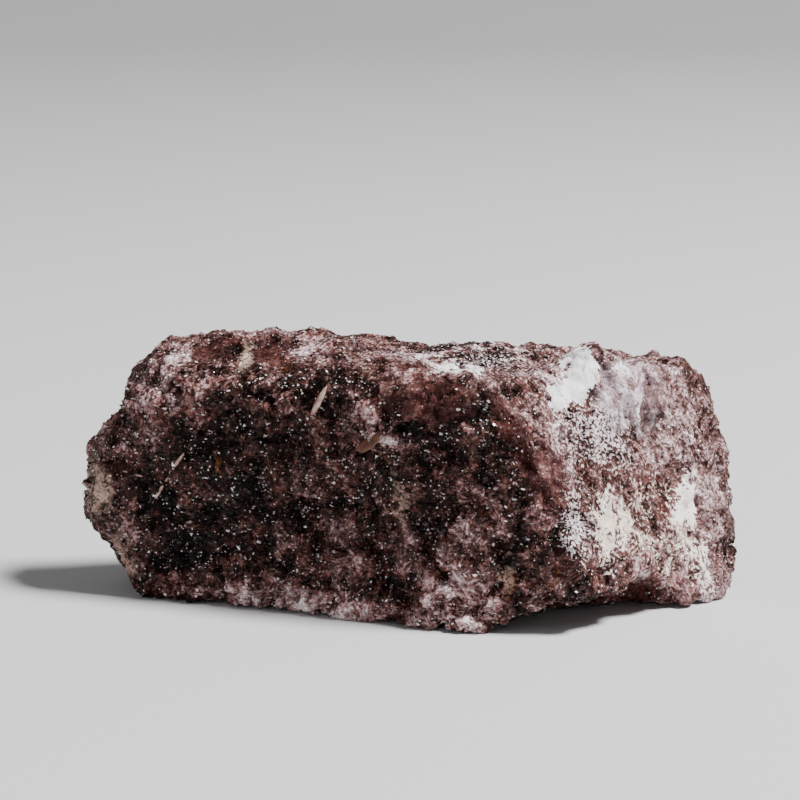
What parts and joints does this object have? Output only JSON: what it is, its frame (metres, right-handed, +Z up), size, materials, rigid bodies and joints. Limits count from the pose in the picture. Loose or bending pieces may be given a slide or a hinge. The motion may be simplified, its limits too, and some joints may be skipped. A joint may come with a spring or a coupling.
{
  "type": "lepidolite mineral specimen",
  "caption": "Rough hand piece of lepidolite: an oblong broken block of fine mauve-brown mica with a pale sparkling end, lying on its widest fracture.",
  "frame": {"origin": "centre of the underside of the bounding box, on the surface that the piece lies on", "axes": "+X along the length, towards the pale sparkling end; +Z up; the broad dark fracture looks along -Y"},
  "size_m": [0.0834, 0.0358, 0.0333],
  "materials": {
    "lepidolite": "rough broken mica, dark purple-brown to pink and white, with pearly glints"
  },
  "bodies": {
    "root": {"lepidolite": "lepidolite"}
  },
  "joints": []
}
